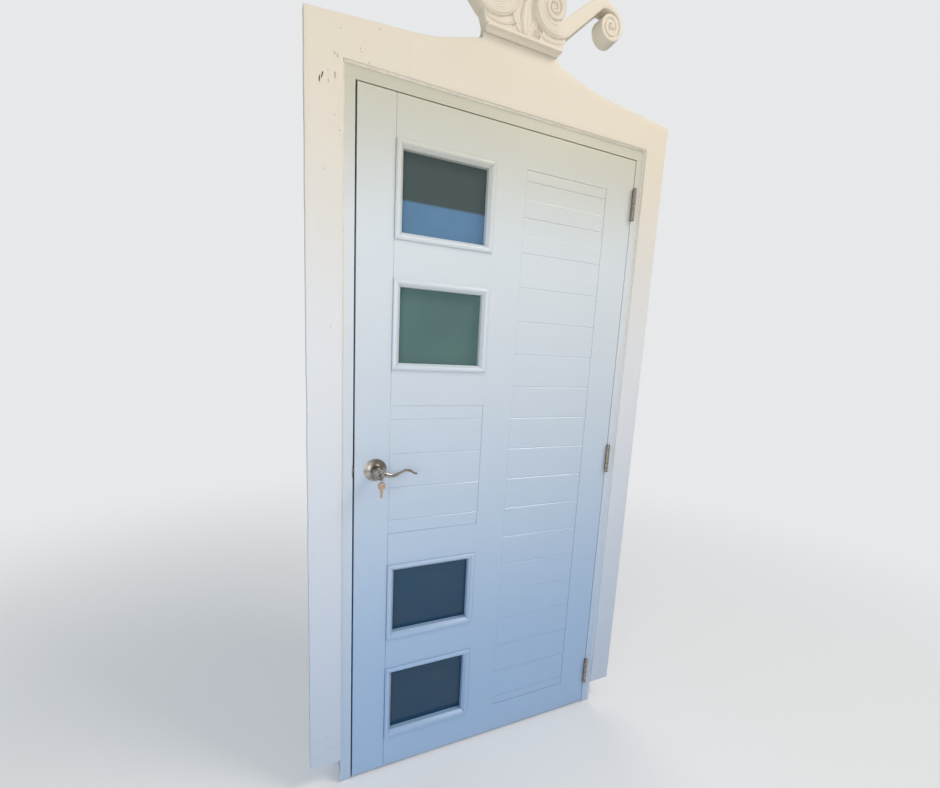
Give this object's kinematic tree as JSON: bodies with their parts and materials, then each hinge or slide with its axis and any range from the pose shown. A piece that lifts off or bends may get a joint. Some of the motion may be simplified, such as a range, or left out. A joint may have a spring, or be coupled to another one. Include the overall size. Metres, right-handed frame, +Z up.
{
  "type": "glazed entrance door with frame",
  "caption": "Outward-opening white door leaf with small panes, grooved panels, lever latch and keys, in a rebated frame with a cream plaster surround and scroll crest.",
  "frame": {"origin": "on the floor, midway between the jambs, in the plane of the leaf's outer face", "axes": "+X to the right as seen from outside, towards the hinges; +Y into the building; +Z up"},
  "size_m": [1.161, 0.2033, 2.4343],
  "materials": {
    "leaf_paint": "glossy white paint",
    "frame_paint": "glossy white paint",
    "cream_plaster": "cream wall paint on cast plaster",
    "dark_glass": "reflective",
    "seal_rubber": "soft",
    "sealant": "satin",
    "hinge_steel": "satin nickel plate",
    "lock_steel": "satin",
    "satin_nickel": "satin nickel plate",
    "key_brass": "worn brass"
  },
  "bodies": {
    "frame": {"jamb_lock_side": "frame_paint", "jamb_hinge_side": "frame_paint", "head_jamb": "frame_paint", "weatherstrips": "seal_rubber", "surround_leg_lock_side": "cream_plaster", "surround_leg_hinge_side": "cream_plaster", "surround_head": "cream_plaster", "sealant_bead": "sealant", "crest": "cream_plaster", "jamb_hinge_plate_top": "hinge_steel", "jamb_hinge_plate_middle": "hinge_steel", "jamb_hinge_plate_bottom": "hinge_steel", "hinge_pin_top": "hinge_steel", "hinge_pin_middle": "hinge_steel", "hinge_pin_bottom": "hinge_steel", "jamb_screws": "hinge_steel", "strike_plate": "lock_steel"},
    "leaf": {"lock_stile": "leaf_paint", "hinge_stile": "leaf_paint", "top_rail": "leaf_paint", "bottom_rail": "leaf_paint", "centre_mullion": "leaf_paint", "cross_rail_1": "leaf_paint", "cross_rail_2": "leaf_paint", "cross_rail_3": "leaf_paint", "cross_rail_4": "leaf_paint", "tall_grooved_panel": "leaf_paint", "middle_grooved_panel": "leaf_paint", "outer_beads_1": "leaf_paint", "outer_beads_2": "leaf_paint", "outer_beads_3": "leaf_paint", "outer_beads_4": "leaf_paint", "inner_beads_1": "leaf_paint", "inner_beads_2": "leaf_paint", "inner_beads_3": "leaf_paint", "inner_beads_4": "leaf_paint", "glass_pane_1": "dark_glass", "glass_pane_2": "dark_glass", "glass_pane_3": "dark_glass", "glass_pane_4": "dark_glass", "leaf_hinge_plate_top": "hinge_steel", "leaf_hinge_plate_middle": "hinge_steel", "leaf_hinge_plate_bottom": "hinge_steel", "leaf_screws": "hinge_steel", "latch_case": "lock_steel", "latch_faceplate": "lock_steel", "lock_chassis": "lock_steel", "outer_rose": "satin_nickel", "inner_rose": "satin_nickel"},
    "levers": {"outer_lever": "satin_nickel", "inner_lever": "satin_nickel", "spindle": "lock_steel", "lock_cylinder": "satin_nickel"},
    "latch": {"latch_bolt": "lock_steel"},
    "plug": {"key_plug": "satin_nickel", "key_in_plug": "key_brass"},
    "keys": {"key_ring": "lock_steel", "spare_key": "key_brass"},
    "turn_button": {"turn_button": "satin_nickel"}
  },
  "joints": [
    {"name": "leaf_swing", "type": "hinge", "parent": "frame", "child": "leaf", "pos_m": [0.4595, -0.007, 1.023], "axis": [0, 0, 1], "range_deg": [0, 165]},
    {"name": "lever_turn", "type": "hinge", "parent": "leaf", "child": "levers", "pos_m": [-0.396, 0.0225, 1.03], "axis": [0, 1, 0], "range_deg": [0, 45], "stiffness_Nm_per_rad": 0.9, "springref_deg": -28.65},
    {"name": "latch_slide", "type": "slide", "parent": "leaf", "child": "latch", "axis": [1, 0, 0], "range_m": [0, 0.011]},
    {"name": "key_turn", "type": "hinge", "parent": "levers", "child": "plug", "pos_m": [-0.396, -0.06, 1.03], "axis": [0, 1, 0], "range_deg": [0, 90]},
    {"name": "key_bunch_swing", "type": "hinge", "parent": "plug", "child": "keys", "pos_m": [-0.396, -0.0821, 1.03], "axis": [1, 0, 0], "range_deg": [-80, 30]},
    {"name": "button_turn", "type": "hinge", "parent": "levers", "child": "turn_button", "pos_m": [-0.396, 0.107, 1.03], "axis": [0, 1, 0], "range_deg": [0, 90]}
  ],
  "couplings": [
    {"joint": "latch_slide", "follows": "lever_turn", "m_per_rad": 0.014}
  ]
}
